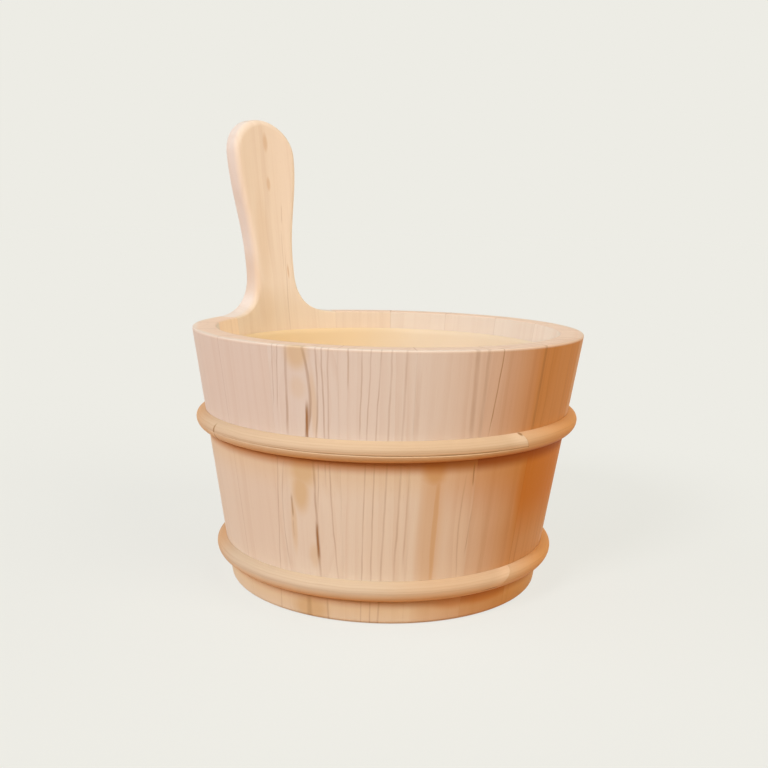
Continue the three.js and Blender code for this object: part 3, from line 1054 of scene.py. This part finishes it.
def floor_material():
    """Pale paint that glows enough to match the backdrop and still takes the bucket's shadow."""
    lit = np.array(FLOOR_PAINT) * floor_light()
    glow_colour = (np.array(BACKGROUND) - (1 - FLOOR_GLOW) * lit) / FLOOR_GLOW
    net = Net(bpy.data.materials.new("pale_floor"))
    net.tree.nodes.remove(net.shader)
    matt = net.node("BsdfDiffuse", {"Color": FLOOR_PAINT})
    glow = net.node("Emission", {"Color": tuple(glow_colour), "Strength": 1.0})
    seen = net.node("MixShader", {0: FLOOR_GLOW, 1: matt, 2: glow})
    bounce = net.node("BsdfDiffuse", {"Color": BOUNCE_COLOUR})
    mixed = net.node("MixShader", {0: plain_rays(net), 1: bounce, 2: seen})
    net.feed(net.tree.nodes["Material Output"].inputs["Surface"], mixed)
    return net.owner


def set_floor():
    half = FLOOR_HALF * MM
    mesh = bpy.data.meshes.new("floor")
    corners = [(-half, -half, 0), (half, -half, 0), (half, half, 0), (-half, half, 0)]
    mesh.from_pydata(corners, [], [(0, 1, 2, 3)])
    mesh.materials.append(floor_material())
    floor = bpy.data.objects.new("floor", mesh)
    floor.location.z = -FLOOR_DROP * MM
    bpy.context.scene.collection.objects.link(floor)


# How each stave was cut and what its face shows: u is across from its middle, v is up from the foot
STAVE_SEED = 3.7
# Plain staves are paler and cooler higher up, in painted cool light
STAVE_LOOK = dict(further=UPPER_COOL_LIGHT, plain_stave=True, hooped=True)
STAVE_LOOKS = {
    1: dict(
        centre=45.0, depth=24.0, spacing=6.0, contrast=0.16,
        pale=INNER_WARM, further=INNER_GOLD, outside=PALE),
    2: dict(centre=-12.0, depth=40.0, spacing=6.5, contrast=0.12, honey=0.08),
    3: dict(centre=70.0, depth=30.0, spacing=6.5, contrast=0.1, honey=0.1),
    4: dict(
        joint=0.0, centre=-80.0, depth=40.0, spacing=8.0, contrast=0.14, honey=0.09,
        lines=[(25.5, 18.8, 12.0, -10, 98, 0.6, 0.4)]),
    5: dict(
        joint=0.0, centre=-3.5, depth=24.0, spacing=6.5, contrast=0.3, wander=2.0, swell=1.5,
        bumps=[(130.0, 45.0, 9.0), (60.0, 45.0, 8.0)],
        stain_and_shade=HEART,
        spots=[
            (-2.8, 158, 9, 11, 0.65),
            (-3, 139, 6, 8, 0.25),
            (6, 130, 2.6, 24, 0.35),
            (-3.5, 92, 10.5, 14, 0.75),
            (-5.5, 78, 7, 15, 0.75),
            (-11.0, 58, 2.6, 22, 0.45),
            (1, 40, 4, 9, 0.35),
            (-4, 6, 14, 10, 0.85),
        ],
        lines=[
            (-17.7, -21.3, -25.0, 130, 165, 0.6, 0.45),
            (-14.3, -19.6, -24.8, 128, 165, 0.6, 0.40),
            (5.8, -15.5, -15.6, 30, 98, 0.6, 0.32),
            (-9.2, -11.6, -13.7, 112, 160, 1.2, 0.55),
            (1.4, -5.0, -55.4, 112, 163, 1.3, 0.7),
            (4.2, -0.3, -4.7, 109, 130, 1.5, 1.0),
            (8.9, 3.5, -16.2, 110, 164, 0.8, 0.60),
            (10.4, 6.5, 2.6, 70, 98, 0.6, 0.45),
            (12.3, 10.7, 9.0, 90, 164, 0.7, 0.50),
            (16.0, 13.3, 14.6, 28, 164, 0.7, 0.42),
            (-11.6, -11.6, -11.6, 63, 75, 0.9, 0.85),
            (-11.6, -11.6, -11.6, 50, 60, 0.6, 0.40),
            (3.6, 3.6, 3.9, 38, 61, 1.6, 1.0),
            (3.6, 3.6, 4.0, 26, 98, 1.1, 0.60),
            (7.0, 7.0, 7.0, -5, 14, 0.9, 0.4),
            (-4.6, -4.6, -4.6, -5, 14, 2.4, 0.5),
        ],
        marks=[(3.7, 50, 0.9, 13, 0.85), (1.3, 120, 0.8, 11, 0.8)]),
    6: dict(
        joint=0.0, centre=75.0, depth=30.0, spacing=6.0, contrast=0.16, wander=2.0,
        lines=[
            (-15.2, -15.2, -15.2, 141, 164, 0.6, 0.42),
            (-7.7, -9.2, -10.7, 116, 160, 0.6, 0.45),
            (-2.9, -5.6, -7.2, -20, 170, 0.6, 0.42),
            (2.3, -0.6, -2.1, -20, 170, 0.6, 0.42),
            (7.9, 6.0, 3.5, -20, 170, 0.8, 0.42),
            (15.8, 13.6, 11.0, 30, 170, 0.9, 0.32),
            (21.0, 18.4, 15.6, 40, 92, 0.8, 0.30),
        ]),
    # Staves 7 to 12: their warm flush and amber are painted shade on the side turned from the key light
    7: dict(
        joint=0.0, centre=-60.0, depth=30.0, spacing=7.0, contrast=0.2,
        flush=(-14.0, 22.0, 0.0, 0.34), amber_shade=(0.0, 0.35, 58.0, 90.0),
        spots=[(-6.5, 58, 9, 62, 0.45), (-3.5, 58, 2.6, 56, 0.7), (-6, 96, 9, 15, 0.85)],
        amber_shade_spots=[(12, 13, 18, 6, 0.45)],
        lines=[
            (12.9, 13.9, 14.9, 112, 166, 2.2, 0.42),
            (19.6, 18.4, 17.2, 112, 166, 1.6, 0.4),
            (-19.2, -18.0, -17.0, 112, 150, 2.0, 0.2),
            (30.3, 13.7, 12.6, 26, 88, 0.7, 0.3),
            (17.6, 17.6, 17.6, 85, 97, 0.7, 0.95),
            (25.7, 20.7, 15.7, 44, 68, 0.6, 0.42),
        ]),
    8: dict(
        joint=0.0, centre=10.0, depth=46.0, spacing=6.4, contrast=0.3, late=DEEP_LATE, crease_shade=DEEP_CREASE_SHADE,
        flush=(-20.0, 18.0, 0.35, 0.93), amber_shade=(0.35, 0.45, 58.0, 90.0),
        amber_shade_spots=[(21, 76, 9, 30, 0.55), (0, 13, 30, 6, 0.6)],
        lines=[(-12.7, -17.5, -30.0, 117, 170, 0.55, 0.9), (20.0, 18.6, 17.2, 112, 166, 1.7, 0.6)]),
    9: dict(
        centre=-50.0, depth=30.0, spacing=4.4, contrast=0.3, late=DEEP_LATE, crease_shade=DEEP_CREASE_SHADE,
        further=LIT_FRESH, flush=(-22.0, 22.0, 0.90, 0.92), amber_shade=(0.9, 0.95, 40.0, 74.0)),
    10: dict(
        centre=30.0, depth=28.0, spacing=5.0, contrast=0.25, crease_shade=DEEP_CREASE_SHADE,
        further=LIT_FRESH, flush=(-24.0, 24.0, 0.9, 0.5), streak=16.0, amber_shade=(0.85, 0.1, 38.0, 72.0)),
    11: dict(
        centre=-4.0, depth=30.0, spacing=6.6, contrast=0.22, bumps=[(80.0, 60.0, 12.0)],
        further=LIT_FRESH, flush=(-24.0, 24.0, 0.5, 0.12), streak=16.0),
    12: dict(
        centre=55.0, depth=30.0, spacing=6.2, contrast=0.09,
        further=INNER_UPPER_LIGHT, flush=(-24.0, 24.0, 0.15, 0.05)),
    13: dict(centre=-20.0, depth=36.0, spacing=6.0, contrast=0.09, honey=0.06, further=INNER_UPPER_LIGHT),
    14: dict(centre=40.0, depth=34.0, spacing=6.4, contrast=0.09, honey=0.06, further=INNER_UPPER_LIGHT),
    15: dict(
        centre=-62.0, depth=28.0, spacing=5.6, contrast=0.16,
        pale=INNER_WARM, further=INNER_WARM, outside=PALE),
}
HANDLE_LOOK = dict(
    seed=57.0, hooped=True, centre=40.0, depth=30.0, spacing=7.0, contrast=0.2,
    pale=HANDLE_ROOT, further=HANDLE_PALE, further_from=(160.0, 190.0), outside=HANDLE_OUTSIDE,
    spots=[
        (1.0, 284, 2.6, 8, 0.4),
        (0.6, 254.5, 2.0, 6, 0.4),
        (11.2, 192, 1.0, 6, 0.5),
        (-9, 215, 7, 45, 0.15),
        (-12, 168, 10, 22, 0.15),
        (-30, 150, 16, 25, 0.08),
        (-19, 188, 5, 22, 0.25),
    ],
    middle=225.0,
    lines=[
        (13.5, 9.2, 4.0, 227, 239, 0.6, 0.35),
        (12.0, 8.6, 6.5, 190, 220, 0.6, 0.25),
        (10.5, 10.0, 8.5, 150, 200, 0.6, 0.40),
    ])
BOTTOM_LOOK = dict(seed=91.0, boards=True, centre=20.0, depth=40.0, spacing=4.5, contrast=0.35)

# The hoops carry painted shade where the lap's inner tongue and the back show on the right, a darker patch
# near the slit and painted light on their undersides: u is round the half-round from its crest, v is along
# the strip from the inner tongue's end
HOOP_LOOK = dict(
    centre=-30.0, depth=8.0, spacing=4.0, contrast=0.16, wander=2.0, late=HOOP_LATE,
    further=HOOP_TIP, further_from=(990.0, 1002.0), warm=HOOP_WARM_AND_UNDER_LIGHT, flush=(-7.5, 0.5, 1.4, 0.0),
    stain_and_shade=HOOP_SHADE_AND_STAIN, middle=radians(360 + LAP_ARC / 2) * RIM_RADIUS)
# Painted shade on the hoops' right part, and a darker patch near the slit
HOOP_SPOTS = [(0.0, 330.0, 60.0, 140.0, 1.0), (0.0, 715.0, 60.0, 75.0, 0.55)]
HOOP_LINES = [
    (3.6, 3.6, 3.6, 700, 1000, 0.5, 0.16),
    (0.6, 0.6, 0.6, 760, 980, 0.4, 0.14),
    (-2.6, -2.6, -2.6, 720, 1005, 0.5, 0.16),
    (5.6, 5.6, 5.6, 800, 990, 0.4, 0.14),
    (1.8, 1.8, 1.8, 880, 1005, 0.4, 0.2),
    (-1.0, -1.0, -1.0, 210, 330, 0.5, 0.2),
    (2.6, 2.6, 2.6, 215, 320, 0.4, 0.2),
]
# The spot at the outer tongue's end carries the painted shade of the right part onto it
UPPER_HOOP_LOOK = dict(
    seed=71.0, pale=UPPER_HOOP_PALE,
    spots=[*HOOP_SPOTS, (0.0, 985.0, 60.0, 75.0, 0.06)],
    # The amber spot is painted shade on the lap's inner tongue, below the seam
    amber_shade_spots=[(-8.5, 330.0, 6.5, 260.0, 1.0)],
    lines=[
        *HOOP_LINES,
        (-1.15, -0.8, -0.45, 845, 1010, 0.6, 0.95),
        (-1.15, -0.8, -0.45, 800, 1010, 0.4, 0.4),
    ],
    marks=[(8.0, 1004.5, 2.6, 1.8, 0.9), (1.0, 795.0, 6.0, 1.2, 0.8), (-5.0, 9.6, 5.0, 1.2, 0.8)])
# The spot at the outer tongue's end carries the painted shade of the right part onto it
LOWER_HOOP_LOOK = dict(
    seed=78.0, pale=LOWER_HOOP_PALE,
    spots=[*HOOP_SPOTS, (0.0, 985.0, 60.0, 75.0, 0.25)],
    lines=HOOP_LINES,
    marks=[(-3.3, 212.0, 0.9, 9.0, 0.85)])


def add_staves():
    """The plain staves, counter-clockwise from the handle, as many on each side as it has."""
    side_arc = (360.0 - HANDLE_STAVE_ARC) / 2
    arcs = [side_arc / count for count in (LEFT_STAVES, RIGHT_STAVES) for _ in range(count)]
    angle = HANDLE_ANGLE + HANDLE_STAVE_ARC / 2
    for number, arc in enumerate(arcs, start=1):
        look = {**STAVE_LOOK, **STAVE_LOOKS[number]}
        material = pine(f"pine_{number:02d}", seed=number * STAVE_SEED, half_arc=arc / 2, **look)
        piece(f"stave_{number:02d}", stave(angle, angle + arc), material)
        angle += arc


def add_hoop(node, shape, look):
    piece(node, shape, pine(node + "_wood", **HOOP_LOOK, **look))


def add_bottom():
    """The bottom's boards and dowels keep their CAD shapes and get one wood."""
    material = pine("pine_bottom", **BOTTOM_LOOK)
    for node in sorted(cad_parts):
        if node.startswith("bottom_"):
            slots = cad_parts[node].data.materials
            slots.clear()
            slots.append(material)


set_camera()
bpy.context.scene.view_settings.view_transform = "Standard"
for sun_name, settings in SUNS.items():
    add_sun(sun_name, *settings)
set_sky()
set_floor()

piece("handle_stave", handle_stave(), pine("pine_handle", **HANDLE_LOOK))
add_staves()
add_hoop("upper_hoop", hoop(UPPER_HOOP_Z, UPPER_HOOP_TILT, **UPPER_LAP), UPPER_HOOP_LOOK)
add_hoop("lower_hoop", hoop(LOWER_HOOP_Z, LOWER_HOOP_TILT, **LOWER_LAP), LOWER_HOOP_LOOK)
piece("liner", liner(), moulded("liner_plastic"), body="liner")
add_bottom()
